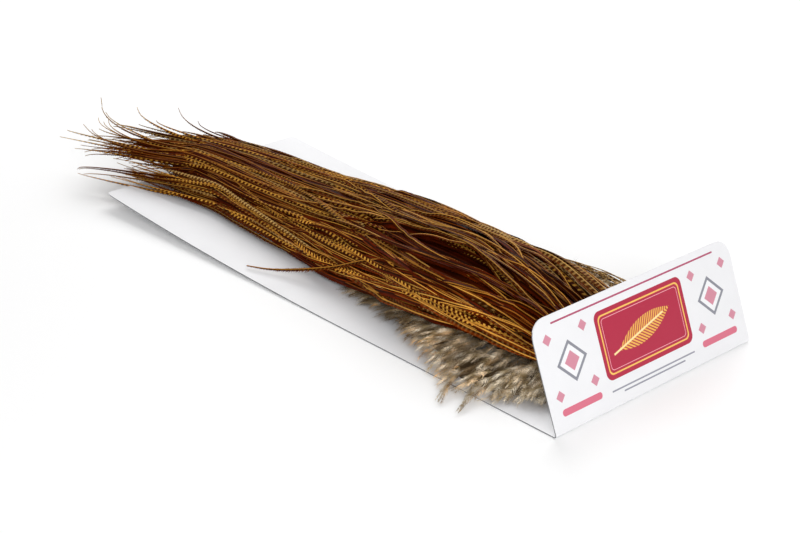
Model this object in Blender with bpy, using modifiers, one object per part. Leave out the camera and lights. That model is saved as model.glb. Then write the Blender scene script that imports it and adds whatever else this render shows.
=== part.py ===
"""Rooster saddle patch: a patch of dried skin with its long hackles and soft flank fluff, on a display card.

Metres, +Z up. +Y runs from the card's folded header flap towards the hackle tips, and +X is to the right of
someone who faces the flap. The origin is on the underside of the card, at the middle of the flat stretch that
it rests on. Every piece is modelled from the fold line and hangs on one empty that places the fold.
"""

import math
import random

import bmesh
import bpy
from mathutils import Vector

MM = 0.001

# The display card is one sheet of 0.5 mm board, creased once: a long base and a short header flap.
CARD_WIDTH = 127 * MM
CARD_LENGTH = 325 * MM
CARD_THICKNESS = 0.5 * MM
FLAT_LENGTH = 130 * MM
FAR_END_LIFT = 8 * MM
FLAP_HEIGHT = 47.5 * MM
FLAP_LEAN = math.radians(68.5)
CREASE_RADIUS = 0.9 * MM
FLAP_CORNER = 8 * MM
FAR_CORNER = 3 * MM
CURL_ROWS = 14
CREASE_ROWS = 8
CORNER_ROWS = 7

# Touching pieces keep this gap, because their meshes hold rounded numbers.
GAP = 0.35 * MM

# The sheaf of hackles with the skin that it grows from, in millimetres: distance from the fold, left edge,
# right edge, crest offset, crest height, edge height above the card, and how round the right flank is, from
# 0 to 1. The first station is the skin's bare near edge.
HACKLE_STATIONS = (
    (4, -28, 14, -8, 2.0, 1.6, 0.5),
    (8, -30, 14, -9, 11.0, 7, 0.3),
    (25, -39, 23, -10, 21.5, 12, 0.2),
    (50, -45, 31, -10, 28.5, 15, 0.1),
    (80, -48, 38, -8, 34.0, 15, 0.0),
    (110, -47, 43, -6, 35.0, 12, 0.0),
    (150, -42, 47, -4, 32.0, 6, 0.6),
    (190, -39, 45, -1, 28.5, 3, 1.0),
    (230, -37, 40, 0, 25.0, 3, 1.0),
    (270, -36, 37, 0, 22.0, 3, 1.0),
    (300, -34, 33, -1, 19.5, 3, 1.0),
    (320, -32, 27, -4, 16.0, 3, 1.0),
    (338, -28, 14, -8, 10.5, 4, 1.0),
    (351, -21, 2, -10, 6.0, 4, 1.0),
)
EXTRA_RINGS = (16, 37, 65, 95, 130, 170, 210, 250, 285, 310, 329)
ARC_POINTS = 13
FOOT_HALF_WIDTH = 26 * MM
FLANK_OUT = 0.8
FLANK_RISE = 0.65

# The fluff at each flank, in millimetres: distance from the fold and reach from the card's centre line.
FLUFF_STATIONS = ((8, 44), (25, 51), (50, 58), (80, 56), (106, 51), (130, 46), (152, 41))
FLUFF_EDGE_HEIGHT = 3.2 * MM
FLUFF_GAP = 0.9 * MM
FLUFF_BELOW_HACKLES = 3.2 * MM
FLUFF_TUFTS = 24
FIRST_TUFT = 12 * MM
TUFT_SPREAD = 130 * MM
TUFT_LENGTH = (18 * MM, 27 * MM)
TUFT_HEADING = (26, 42)
TUFT_SIZES = (0.75, 0.85, 0.55, 0.16)

# A lock of hackles is a diamond in section. Its lane, -1 at the left edge and 1 at the right, wanders a little.
LOCK_WIDTH = 6.4 * MM
LOCK_HEIGHT = 4.2 * MM
LOCK_POINTS = 10
SURFACE_LOCKS = 37
OUTER_LANE = 0.94
LOCK_START = (14 * MM, 40 * MM)
LOCK_END = (238 * MM, 330 * MM)
LANE_DRIFT = 0.07
LANE_WAVE = (0.03, 0.07)
WAVES = 5
PROUD = 0.2 * MM

# Locks that run on past the sheaf into free tips, in millimetres: where each tip ends, as x, distance from the
# fold and height, and the place across the sheaf, from -1 at the left edge to 1 at the right, where it leaves.
TIP_LOCKS = (
    (-37, 366, 45, -0.30),
    (-50, 365, 33, -0.42),
    (-46, 389, 22, -0.36),
    (-53, 371, 18, -0.50),
    (-61, 357, 12, -0.66),
    (-36, 372, 25, -0.24),
    (-24, 383, 29, -0.14),
    (-49, 345, 12, -0.78),
    (-22, 376, 23, -0.06),
    (-14, 366, 34, 0.02),
    (-30, 352, 14, -0.34),
    (-8, 357, 27, 0.14),
    (-18, 350, 17, -0.10),
    (4, 352, 33, 0.26),
    (0, 346, 21, 0.20),
    (12, 345, 25, 0.40),
    (18, 338, 18, 0.54),
    (26, 322, 14, 0.76),
)
TIP_LOCK_START = (205 * MM, 235 * MM)
LEAVES_SHEAF = 318 * MM
SHORTEST_FREE_TIP = 26 * MM
TIP_SAG = 0.16

# One long hackle has strayed off the left flank and lies curved over the bare card.
STRAY_ROUTE = ((-30, 128, 27), (-36, 148, 21), (-40, 168, 12), (-47, 188, 6), (-53, 200, 4), (-58, 211, 3.5))
STRAY_SIZE = 0.7
STRAY_TIP_SIZE = 0.3

CARD_WHITE = (0.93, 0.93, 0.94)
HACKLE_BROWN = (0.27, 0.12, 0.035)
FLUFF_GREY = (0.36, 0.31, 0.25)


def clear_scene():
    for obj in list(bpy.data.objects):
        bpy.data.objects.remove(obj, do_unlink=True)


def new_collection(name, shown=True):
    collection = bpy.data.collections.new(name)
    bpy.context.scene.collection.children.link(collection)
    collection.hide_render = not shown
    return collection


def make_material(name, colour, roughness):
    material = bpy.data.materials.new(name)
    material.use_nodes = True
    shader = material.node_tree.nodes["Principled BSDF"]
    shader.inputs["Base Color"].default_value = (*colour, 1)
    shader.inputs["Roughness"].default_value = roughness
    shader.inputs["Metallic"].default_value = 0
    return material


def place(name, mesh, collection, parent, material):
    obj = bpy.data.objects.new(name, mesh)
    collection.objects.link(obj)
    obj.parent = parent
    mesh.materials.clear()
    mesh.materials.append(material)
    return obj


def loft(name, rings):
    """A closed mesh through rings of equal length, with a flat cap at each end."""
    mesh = bpy.data.meshes.new(name)
    shape = bmesh.new()
    made = [[shape.verts.new(point) for point in ring] for ring in rings]
    for first, second in zip(made, made[1:]):
        for i in range(len(first)):
            j = (i + 1) % len(first)
            shape.faces.new((first[i], first[j], second[j], second[i]))
    shape.faces.new(made[0])
    shape.faces.new(made[-1])
    bmesh.ops.recalc_face_normals(shape, faces=shape.faces)
    shape.to_mesh(mesh)
    shape.free()
    return mesh


def card_top(y):
    """Height of the card's upper face: flat at first, then lifting gently to the far end."""
    along = max(0.0, (y - FLAT_LENGTH) / (CARD_LENGTH - FLAT_LENGTH))
    return CARD_THICKNESS + FAR_END_LIFT * along * along


def card_rows():
    """Rows of the sheet's middle surface, from the base's far end round the crease to the flap's top edge."""
    middle = CARD_THICKNESS / 2
    half = CARD_WIDTH / 2
    base = []
    for i in range(CORNER_ROWS):
        turn = math.pi / 2 * (1 - i / (CORNER_ROWS - 1))
        base.append((half - FAR_CORNER * (1 - math.cos(turn)), CARD_LENGTH - FAR_CORNER * (1 - math.sin(turn))))
    straight = CARD_LENGTH - FAR_CORNER
    base += [(half, straight - (straight - FLAT_LENGTH) * i / CURL_ROWS) for i in range(1, CURL_ROWS + 1)]
    points = [(width, y, card_top(y) - middle) for width, y in base]
    centre = Vector((CREASE_RADIUS, middle + CREASE_RADIUS))
    swing = math.pi - FLAP_LEAN
    for i in range(CREASE_ROWS + 1):
        turn = -math.pi / 2 - swing * i / CREASE_ROWS
        along, up = centre + CREASE_RADIUS * Vector((math.cos(turn), math.sin(turn)))
        points.append((half, along, up))
    _, start_y, start_z = points[-1]
    rise = Vector((math.cos(FLAP_LEAN), math.sin(FLAP_LEAN)))
    for i in range(CORNER_ROWS):
        turn = math.pi / 2 * i / (CORNER_ROWS - 1)
        up = FLAP_HEIGHT - FLAP_CORNER * (1 - math.sin(turn))
        width = half - FLAP_CORNER * (1 - math.cos(turn))
        points.append((width, start_y + rise.x * up, start_z + rise.y * up))
    return points


def build_card(collection, parent):
    mesh = bpy.data.meshes.new("display_card")
    sheet = bmesh.new()
    rows = [[sheet.verts.new((side * width, y, z)) for side in (-1, 1)] for width, y, z in card_rows()]
    for first, second in zip(rows, rows[1:]):
        sheet.faces.new((first[0], first[1], second[1], second[0]))
    sheet.to_mesh(mesh)
    sheet.free()
    card = place("display_card", mesh, collection, parent, make_material("card", CARD_WHITE, 0.5))
    board = card.modifiers.new("board", "SOLIDIFY")
    board.thickness = CARD_THICKNESS
    board.offset = 0
    return card


def station(y, column):
    """One column of the hackle stations at distance y from the fold, read along a smooth curve."""
    table = HACKLE_STATIONS
    at = min(max(y / MM, table[0][0]), table[-1][0])
    k = next(i for i in range(len(table) - 1) if at <= table[i + 1][0])

    def slope(i):
        before, after = max(i - 1, 0), min(i + 1, len(table) - 1)
        return (table[after][column] - table[before][column]) / (table[after][0] - table[before][0])

    span = table[k + 1][0] - table[k][0]
    s = (at - table[k][0]) / span
    value = (2 * s**3 - 3 * s**2 + 1) * table[k][column] + (s**3 - 2 * s**2 + s) * span * slope(k)
    value += (3 * s**2 - 2 * s**3) * table[k + 1][column] + (s**3 - s**2) * span * slope(k + 1)
    return value


def sheaf_point(across, y, proud=0.0):
    """A point on the sheaf's upper surface. across is -1 at the left edge, 0 at the crest and 1 at the right."""
    left, right, crest, top, edge, fullness = (station(y, column) for column in range(1, 7))
    fullness = 1.0 if across < 0 else min(max(fullness, 0.0), 1.0)
    side = right if across > 0 else left
    x = crest + abs(across) * (side - crest)
    arch = max(0.0, 1 - abs(across) ** (1.6 + 0.6 * fullness)) ** (0.85 - 0.28 * fullness)
    return Vector((x * MM, y, card_top(y) + (edge + (top - edge) * arch) * MM + proud))


def lane_to_across(lane):
    """Evenly spaced lanes round the sheaf crowd together across it towards its steep edges."""
    return math.sin(math.pi / 2 * lane)


def underside(y):
    """The sheaf's underside at distance y, from left to right: edge, flank, foot, foot, flank, edge."""
    left, right = sheaf_point(-1, y), sheaf_point(1, y)
    low = card_top(y) + GAP
    middle, half = (left.x + right.x) / 2, (right.x - left.x) / 2
    foot = min(FOOT_HALF_WIDTH, 0.6 * half)
    left_flank = Vector((middle - FLANK_OUT * half, y, low + FLANK_RISE * (left.z - low)))
    right_flank = Vector((middle + FLANK_OUT * half, y, low + FLANK_RISE * (right.z - low)))
    left_foot, right_foot = Vector((middle - foot, y, low)), Vector((middle + foot, y, low))
    return [left, left_flank, left_foot, right_foot, right_flank, right]


def lock_section(collection):
    """The diamond that a lock's curve carries along its route."""
    data = bpy.data.curves.new("lock_section", "CURVE")
    data.dimensions = "2D"
    spline = data.splines.new("POLY")
    spline.use_cyclic_u = True
    corners = ((LOCK_WIDTH / 2, 0), (0, LOCK_HEIGHT / 2), (-LOCK_WIDTH / 2, 0), (0, -LOCK_HEIGHT / 2))
    spline.points.add(len(corners) - 1)
    for point, (x, y) in zip(spline.points, corners):
        point.co = (x, y, 0, 1)
    section = bpy.data.objects.new("lock_section", data)
    collection.objects.link(section)
    section.hide_render = True
    section.display_type = "WIRE"
    return section


def make_lock(name, route, sizes, section, collection):
    """A closed mesh lock along a route, its section scaled by a size at each point."""
    data = bpy.data.curves.new(name, "CURVE")
    data.dimensions = "3D"
    data.twist_mode = "Z_UP"
    data.bevel_mode = "OBJECT"
    data.bevel_object = section
    data.use_fill_caps = True
    spline = data.splines.new("POLY")
    spline.points.add(len(route) - 1)
    for point, place_at, size in zip(spline.points, route, sizes):
        point.co = (*place_at, 1)
        point.radius = size
    curve = bpy.data.objects.new(name, data)
    collection.objects.link(curve)
    evaluated = curve.evaluated_get(bpy.context.evaluated_depsgraph_get())
    mesh = bpy.data.meshes.new_from_object(evaluated)
    bpy.data.objects.remove(curve, do_unlink=True)
    shape = bmesh.new()
    shape.from_mesh(mesh)
    bmesh.ops.remove_doubles(shape, verts=shape.verts, dist=0.01 * MM)
    bmesh.ops.recalc_face_normals(shape, faces=shape.faces)
    shape.to_mesh(mesh)
    shape.free()
    lock = bpy.data.objects.new(name, mesh)
    collection.objects.link(lock)
    lock.hide_render = True
    lock.display_type = "WIRE"
    return lock


def smooth_route(points, count):
    """count points along a smooth curve through a few guide points."""
    guides = [Vector(p) for p in points]
    route = []
    for i in range(count):
        at = i / (count - 1) * (len(guides) - 1)
        k = min(int(at), len(guides) - 2)
        s = at - k
        before = guides[max(k - 1, 0)]
        after = guides[min(k + 2, len(guides) - 1)]
        a, b = guides[k], guides[k + 1]
        route.append(0.5 * ((2 * a) + (b - before) * s + (2 * before - 5 * a + 4 * b - after) * s * s
                            + (3 * a - before - 3 * b + after) * s**3))
    return route


def fuse(name, body, locks, collection, parent, material):
    """Joins the locks to the body that they grow from, in one closed surface."""
    obj = place(name, body, collection, None, material)
    union = obj.modifiers.new("locks", "BOOLEAN")
    union.operation = "UNION"
    union.solver = "EXACT"
    union.use_self = True
    union.operand_type = "COLLECTION"
    union.collection = locks
    evaluated = obj.evaluated_get(bpy.context.evaluated_depsgraph_get())
    mesh = bpy.data.meshes.new_from_object(evaluated)
    for lock in list(locks.objects):
        bpy.data.objects.remove(lock, do_unlink=True)
    bpy.data.objects.remove(obj, do_unlink=True)
    keep_largest_shell(mesh)
    return place(name, mesh, collection, parent, material)


def keep_largest_shell(mesh):
    """Drops the small pockets that crossing locks can enclose."""
    shape = bmesh.new()
    shape.from_mesh(mesh)
    bmesh.ops.remove_doubles(shape, verts=shape.verts, dist=0.001 * MM)
    unseen = set(shape.faces)
    shells = []
    while unseen:
        front = [unseen.pop()]
        shell = list(front)
        while front:
            for edge in front.pop().edges:
                for face in edge.link_faces if len(edge.link_faces) == 2 else ():
                    if face in unseen:
                        unseen.remove(face)
                        front.append(face)
                        shell.append(face)
        shells.append(shell)
    shells.sort(key=len)
    spare = [face for shell in shells[:-1] for face in shell]
    bmesh.ops.delete(shape, geom=spare, context="FACES")
    shape.to_mesh(mesh)
    shape.free()


def sheaf_body():
    """The mass of hackles without its locks, as a loft along the card."""
    distances = sorted([row[0] * MM for row in HACKLE_STATIONS] + [y * MM for y in EXTRA_RINGS])
    rings = []
    for y in distances:
        arc = [sheaf_point(lane_to_across(1 - 2 * i / (ARC_POINTS - 1)), y) for i in range(ARC_POINTS)]
        rings.append(arc + underside(y)[1:-1])
    return loft("saddle_hackles", rings)


def surface_lock(index, rng):
    """Route and sizes of a lock that lies along the sheaf, wandering a little across it."""
    home = OUTER_LANE * (2 * (index + 0.5) / SURFACE_LOCKS - 1)
    start, end = rng.uniform(*LOCK_START), rng.uniform(*LOCK_END)
    drift = rng.uniform(-LANE_DRIFT, LANE_DRIFT)
    wave = rng.uniform(*LANE_WAVE)
    phase = rng.uniform(0, 2 * math.pi)
    route = []
    sizes = []
    for i in range(LOCK_POINTS):
        t = i / (LOCK_POINTS - 1)
        lane = home + drift * t + wave * math.sin(phase + WAVES * t)
        lane = min(max(lane, -OUTER_LANE), OUTER_LANE)
        route.append(sheaf_point(lane_to_across(lane), start + (end - start) * t, PROUD))
        sizes.append(0.75 + 0.4 * math.sin(math.pi * t))
    sizes[0] = 0.45
    sizes[-1] = 0.2
    return route, sizes


def tip_lock(tip, rng):
    """Route and sizes of a lock that leaves the sheaf's far end and ends in a free tip."""
    x, y, z, across = tip
    end = Vector((x, y, z)) * MM
    start = rng.uniform(*TIP_LOCK_START)
    leave = min(LEAVES_SHEAF, end.y - SHORTEST_FREE_TIP)
    on_sheaf = [sheaf_point(across, start + (leave - start) * i / 4, -PROUD) for i in range(5)]
    reach = end - on_sheaf[-1]
    sag = Vector((0, 0, TIP_SAG * reach.z))
    free = [on_sheaf[-1] + reach * s - sag * math.sin(math.pi * s) for s in (0.35, 0.7, 1)]
    route = smooth_route(on_sheaf + free, LOCK_POINTS + 2)
    last = len(route) - 1
    sizes = [0.85 - 0.6 * (i / last) ** 1.5 for i in range(last)] + [0.14]
    return route, sizes


def stray_lock():
    route = smooth_route([Vector(point) * MM for point in STRAY_ROUTE], LOCK_POINTS)
    step = (STRAY_SIZE - STRAY_TIP_SIZE) / (LOCK_POINTS - 1)
    return route, [STRAY_SIZE - step * i for i in range(LOCK_POINTS)]


def build_hackles(collection, cutters, parent, section):
    """The sheaf of long hackles: one mass with its locks, free tips and stray hackle grown from it."""
    rng = random.Random(7)
    locks = bpy.data.collections.new("hackle_locks")
    cutters.children.link(locks)
    shapes = [surface_lock(i, rng) for i in range(SURFACE_LOCKS)]
    shapes += [tip_lock(tip, rng) for tip in TIP_LOCKS]
    shapes.append(stray_lock())
    for i, (route, sizes) in enumerate(shapes):
        make_lock(f"lock_{i}", route, sizes, section, locks)
    material = make_material("hackle", HACKLE_BROWN, 0.45)
    return fuse("saddle_hackles", sheaf_body(), locks, collection, parent, material)


def fluff_reach(y):
    """How far the fluff stands out from the card's centre line at distance y from the fold."""
    table = FLUFF_STATIONS
    at = min(max(y / MM, table[0][0]), table[-1][0])
    k = next(i for i in range(len(table) - 1) if at <= table[i + 1][0])
    share = (at - table[k][0]) / (table[k + 1][0] - table[k][0])
    return (table[k][1] + share * (table[k + 1][1] - table[k][1])) * MM


def fluff_top(side, y):
    """The fluff's upper surface at one flank: inner end, beside the hackles' edge, half way out, outer edge."""
    edge, flank = (underside(y)[0], underside(y)[1]) if side < 0 else (underside(y)[5], underside(y)[4])
    shoulder, outer = abs(edge.x), max(fluff_reach(y), abs(edge.x) + 4 * MM)
    floor = card_top(y) + GAP
    low = max(flank.z - FLUFF_GAP, floor + 0.6 * MM)
    high = max(edge.z - FLUFF_BELOW_HACKLES, low + 0.3 * MM)
    half_way = shoulder + 0.45 * (outer - shoulder)
    return (
        (abs(flank.x), low),
        (shoulder - 2 * MM, high),
        (half_way, max(0.7 * high, floor + 0.9 * MM)),
        (outer, floor + FLUFF_EDGE_HEIGHT),
    )


def fluff_ring(side, y):
    """A section of the fluff at one flank: a wedge under the hackles' edge that thins out over the card."""
    floor = card_top(y) + GAP
    top = fluff_top(side, y)
    inner, outer = top[0][0], top[-1][0]
    profile = ((inner, floor), *top, (outer + 1.5 * MM, floor + 0.4 * FLUFF_EDGE_HEIGHT), (outer, floor))
    return [Vector((side * x, y, z)) for x, z in profile]


def fluff_tuft(index, side, rng):
    """Route and sizes of a tuft that points outwards and back, from the fluff's outer edge or half way up."""
    share = (index + 0.5) / FLUFF_TUFTS
    y = FIRST_TUFT + TUFT_SPREAD * share
    floor = card_top(y) + GAP
    _, _, (half_way, half_way_z), (outer, outer_z) = fluff_top(side, y)
    x, z = (outer - 6 * MM, outer_z + 0.2 * MM) if index % 2 else (half_way, half_way_z - 0.2 * MM)
    length = rng.uniform(*TUFT_LENGTH) * (1.15 - 0.5 * share)
    heading = math.radians(rng.uniform(*TUFT_HEADING) + 38 * share)
    reach = Vector((side * math.cos(heading) * length, math.sin(heading) * length, floor + 2.2 * MM - z))
    last = len(TUFT_SIZES) - 1
    return [Vector((side * x, y, z)) + reach * i / last for i in range(last + 1)], TUFT_SIZES


def build_fluff(name, side, seed, material, collection, cutters, parent, section):
    """The soft webby feathers at one flank: a low wedge with tufts at its outer edge."""
    rng = random.Random(seed)
    tufts = bpy.data.collections.new(f"{name}_tufts")
    cutters.children.link(tufts)
    for i in range(FLUFF_TUFTS):
        route, sizes = fluff_tuft(i, side, rng)
        make_lock(f"{name}_tuft_{i}", route, sizes, section, tufts)
    body = loft(name, [fluff_ring(side, distance * MM) for distance, _ in FLUFF_STATIONS])
    return fuse(name, body, tufts, collection, parent, material)


def main():
    clear_scene()
    patch = new_collection("rooster_saddle_patch")
    cutters = new_collection("cutters", shown=False)
    fold = bpy.data.objects.new("fold_line", None)
    fold.location = (0, -FLAT_LENGTH / 2, 0)
    patch.objects.link(fold)
    section = lock_section(cutters)
    build_card(patch, fold)
    build_hackles(patch, cutters, fold, section)
    fluff = make_material("fluff", FLUFF_GREY, 0.9)
    build_fluff("flank_fluff_left", -1, 11, fluff, patch, cutters, fold, section)
    build_fluff("flank_fluff_right", 1, 23, fluff, patch, cutters, fold, section)
    for obj in patch.objects:
        if obj.type == "MESH" and not obj.modifiers:
            obj.data.shade_smooth()
            obj.data.set_sharp_from_angle(angle=math.radians(40))


main()
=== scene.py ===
import math

import bpy
import numpy as np
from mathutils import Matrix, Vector


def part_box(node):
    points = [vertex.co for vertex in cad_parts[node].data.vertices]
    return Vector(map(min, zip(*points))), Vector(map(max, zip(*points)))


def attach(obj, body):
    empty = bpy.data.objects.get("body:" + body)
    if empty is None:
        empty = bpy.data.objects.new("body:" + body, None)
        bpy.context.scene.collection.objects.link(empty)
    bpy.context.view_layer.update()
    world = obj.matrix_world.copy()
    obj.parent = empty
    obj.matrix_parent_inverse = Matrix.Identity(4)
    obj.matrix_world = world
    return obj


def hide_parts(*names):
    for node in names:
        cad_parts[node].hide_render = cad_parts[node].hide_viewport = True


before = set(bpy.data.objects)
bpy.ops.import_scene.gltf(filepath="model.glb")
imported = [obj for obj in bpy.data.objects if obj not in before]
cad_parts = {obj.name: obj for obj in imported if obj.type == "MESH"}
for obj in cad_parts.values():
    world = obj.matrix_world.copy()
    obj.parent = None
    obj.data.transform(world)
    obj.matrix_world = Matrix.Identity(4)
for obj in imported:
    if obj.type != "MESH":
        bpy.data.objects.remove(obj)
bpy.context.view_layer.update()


# The display card is one sheet of 0.5 mm white coated board, die cut and creased once, so that its
# header flap stands up over the near end. The flap's outer face is printed in crimson, rose, gold and grey.
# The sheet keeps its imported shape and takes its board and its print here.
MM = 0.001
FOLD_Y = -0.065  # the crease in the shared frame, in metres
FLAP_LEAN = math.radians(68.5)
FLAP_FOOT = (0.06, 1.48)  # mm; where the flap's middle surface leaves the crease, along and up
PANEL_CENTRE, PANEL_HALF, PANEL_ROUND = (0, 25.5), (28, 15.0), 3.5  # mm, across the flap and up it
RULE_INSET, RULE_WIDTH = 2.0, 0.7
HAIR_INSET, HAIR_WIDTH = 3.7, 0.3
MOTIF_HALF, MOTIF_TURN = (18.0, 5.2), math.radians(-14)  # the printed feather's half length and half width
MOTIF_BARBS, MOTIF_GROOVE = 1.7, 0.42  # from one printed barb to the next, and the share left between them
QUILL_HALF, QUILL_FOOT, QUILL_TIP = 0.45, -21.5, 13.5
PRINTED_BARS = (  # centre, half size and corner in mm, and the ink
    ((0, 44.0), (52, 0.4), 0.35, "#a94a68"),
    ((-45, 7.0), (12, 1.5), 1.45, "#cf6a80"),
    ((45, 7.0), (12, 1.5), 1.45, "#cf6a80"),
    ((0, 6.0), (27, 0.35), 0.3, "#8e8f9a"),
    ((0, 4.2), (20, 0.35), 0.3, "#8e8f9a"),
)
PRINTED_LOZENGES = (  # place in mm out to each side and up, half height, and the ink
    (45, 26, 9.0, "#85868f"), (45, 26, 7.2, "#e6e6e8"), (45, 26, 4.4, "#c98596"),
    (56, 38, 2.6, "#c98596"), (35, 14, 2.6, "#c98596"), (35, 38, 2.6, "#c98596"), (56, 14, 2.6, "#c98596"),
)
FIBRE_SCALE, MOTTLE_SCALE = 900.0, 70.0  # to the metre, for fibres of about 1.1 mm and clouds of about 14 mm
OUTER_FACING, EDGE_FACING = 0.6, 0.8  # above these a face that looks out is printed, and a cut edge that faces sideways gets painted shade


def linear(code):
    """The linear colour of an sRGB hex code, with full alpha."""
    shares = [int(code[i:i + 2], 16) / 255 for i in (1, 3, 5)]
    return (*(s / 12.92 if s <= 0.04045 else ((s + 0.055) / 1.055) ** 2.4 for s in shares), 1.0)


def add(tree, kind, inputs=None, **settings):
    """Adds a shader node with its settings, and sets or links its inputs, given by name or number."""
    node = tree.nodes.new("ShaderNode" + kind)
    for name, value in settings.items():
        setattr(node, name, value)
    for key, source in (inputs or {}).items():
        named = [s for s in node.inputs if s.enabled and s.name == key]
        socket = node.inputs[key] if isinstance(key, int) else named[0]
        if isinstance(source, bpy.types.Node):
            source = next(s for s in source.outputs if s.enabled)
        if isinstance(source, bpy.types.NodeSocket):
            tree.links.new(source, socket)
        else:
            socket.default_value = source
    return node


def bands(tree, turns, low, high):
    """Soft bands that rise and fall once in every two turns: 0 below low and 1 above high."""
    turns = add(tree, "Math", {0: turns, 1: 1.0}, operation="PINGPONG")
    return add(tree, "MapRange", {"Value": turns, "From Min": low, "From Max": high},
               interpolation_type="SMOOTHSTEP")


def new_finish(name):
    """An empty node material with its output, as (material, tree, output)."""
    material = bpy.data.materials.new(name)
    material.use_nodes = True
    material.node_tree.nodes.clear()
    output = material.node_tree.nodes.new("ShaderNodeOutputMaterial")
    return material, material.node_tree, output


# Clay-coated paperboard: bright white and half glossy, with a faint fibre mottle under the coating.
# The ink lies in the coating, so it is as smooth as the white round it.
board, tree, output = new_finish("clay_coated_board")
where = add(tree, "TexCoord").outputs["Object"]
fibre = add(tree, "TexNoise", {"Vector": where, "Scale": FIBRE_SCALE, "Detail": 3.0})
mottle = add(tree, "TexNoise", {"Vector": where, "Scale": MOTTLE_SCALE, "Detail": 2.0})
white = add(tree, "Mix", {"Factor": mottle, "A": linear("#e5e5e7"), "B": linear("#dfdfe1")},
            data_type="RGBA")
spot = add(tree, "SeparateXYZ", {0: where})
across_mm = add(tree, "Math", {0: spot.outputs["X"], 1: 1000.0}, operation="MULTIPLY")
along = add(tree, "Math", {0: spot.outputs["Y"], 1: -(FOLD_Y + FLAP_FOOT[0] * MM)}, operation="ADD")
rise = add(tree, "Math", {0: spot.outputs["Z"], 1: -FLAP_FOOT[1] * MM}, operation="ADD")
rise = add(tree, "Math", {0: rise, 1: math.sin(FLAP_LEAN)}, operation="MULTIPLY")
up_flap = add(tree, "Math", {0: along, 1: math.cos(FLAP_LEAN), 2: rise}, operation="MULTIPLY_ADD")
up_mm = add(tree, "Math", {0: up_flap, 1: 1000.0}, operation="MULTIPLY")
on_flap = add(tree, "CombineXYZ", {0: across_mm, 1: up_mm})
facing = add(tree, "NewGeometry").outputs["Normal"]
facing = add(tree, "VectorMath", {0: facing, 1: (0, -math.sin(FLAP_LEAN), math.cos(FLAP_LEAN))},
             operation="DOT_PRODUCT").outputs["Value"]
outer_face = add(tree, "Math", {0: facing, 1: OUTER_FACING}, operation="GREATER_THAN")


def printed_block(centre, half, corner):
    """A mask that is 1 inside a rounded block printed on the flap, all in millimetres."""
    off = add(tree, "VectorMath", {0: on_flap, 1: (*centre, 0)}, operation="SUBTRACT")
    off = add(tree, "VectorMath", {0: off}, operation="ABSOLUTE")
    off = add(tree, "VectorMath", {0: off, 1: (half[0] - corner, half[1] - corner, 0)},
              operation="SUBTRACT")
    off = add(tree, "VectorMath", {0: off, 1: (0, 0, 0)}, operation="MAXIMUM")
    far = add(tree, "VectorMath", {0: off}, operation="LENGTH").outputs["Value"]
    return add(tree, "Math", {0: far, 1: corner}, operation="LESS_THAN")


def take(first, second):
    """The part of one mask that a second leaves uncovered."""
    return add(tree, "Math", {0: first, 1: second}, operation="SUBTRACT", use_clamp=True)


def both(first, second):
    """The part that two masks share."""
    return add(tree, "Math", {0: first, 1: second}, operation="MULTIPLY")


def ink(under, code, mask):
    """Prints a flat colour over another where the mask is 1."""
    return add(tree, "Mix", {"Factor": both(mask, outer_face), "A": under, "B": linear(code)},
               data_type="RGBA")


def inset(amount):
    """The panel's half size and its corner, drawn in by some millimetres."""
    return (PANEL_HALF[0] - amount, PANEL_HALF[1] - amount), PANEL_ROUND - 0.5 * amount


panel = printed_block(PANEL_CENTRE, PANEL_HALF, PANEL_ROUND)
rule, hair_rule = (
    take(printed_block(PANEL_CENTRE, *inset(far_in)), printed_block(PANEL_CENTRE, *inset(far_in + width)))
    for far_in, width in ((RULE_INSET, RULE_WIDTH), (HAIR_INSET, HAIR_WIDTH))
)
shape = add(tree, "VectorMath", {0: on_flap, 1: (*PANEL_CENTRE, 0)}, operation="SUBTRACT")
shape = add(tree, "VectorRotate", {"Vector": shape, "Angle": MOTIF_TURN}, rotation_type="Z_AXIS")
axis = add(tree, "SeparateXYZ", {0: shape})
off_rib = add(tree, "Math", {0: axis.outputs["Y"]}, operation="ABSOLUTE")
place = add(tree, "Math", {0: axis.outputs["X"], 1: 1 / MOTIF_HALF[0]}, operation="MULTIPLY")
swell = add(tree, "Math", {0: place, 1: 2.0}, operation="POWER")
swell = add(tree, "Math", {0: 1.0, 1: swell}, operation="SUBTRACT", use_clamp=True)
swell = add(tree, "Math", {0: swell, 1: MOTIF_HALF[1]}, operation="MULTIPLY")
vane = add(tree, "Math", {0: off_rib, 1: swell}, operation="LESS_THAN")
slant = add(tree, "Math", {0: off_rib, 1: -0.9, 2: axis.outputs["X"]}, operation="MULTIPLY_ADD")
slant = add(tree, "Math", {0: slant, 1: 1 / MOTIF_BARBS}, operation="MULTIPLY")
slant = add(tree, "Math", {0: slant}, operation="FRACT")
lines = add(tree, "Math", {0: slant, 1: MOTIF_GROOVE}, operation="GREATER_THAN")
quill = both(add(tree, "Math", {0: off_rib, 1: QUILL_HALF}, operation="LESS_THAN"),
             add(tree, "Math", {0: axis.outputs["X"], 1: QUILL_FOOT}, operation="GREATER_THAN"))
quill = both(quill, add(tree, "Math", {0: axis.outputs["X"], 1: QUILL_TIP}, operation="LESS_THAN"))
face = ink(white, "#a91c3c", panel)
face = ink(face, "#e9b85a", rule)
face = ink(face, "#e59aa6", hair_rule)
face = ink(face, "#e3ad4e", both(vane, lines))
face = ink(face, "#f3d79a", quill)
for centre, half, corner, code in PRINTED_BARS:
    face = ink(face, code, printed_block(centre, half, corner))
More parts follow.
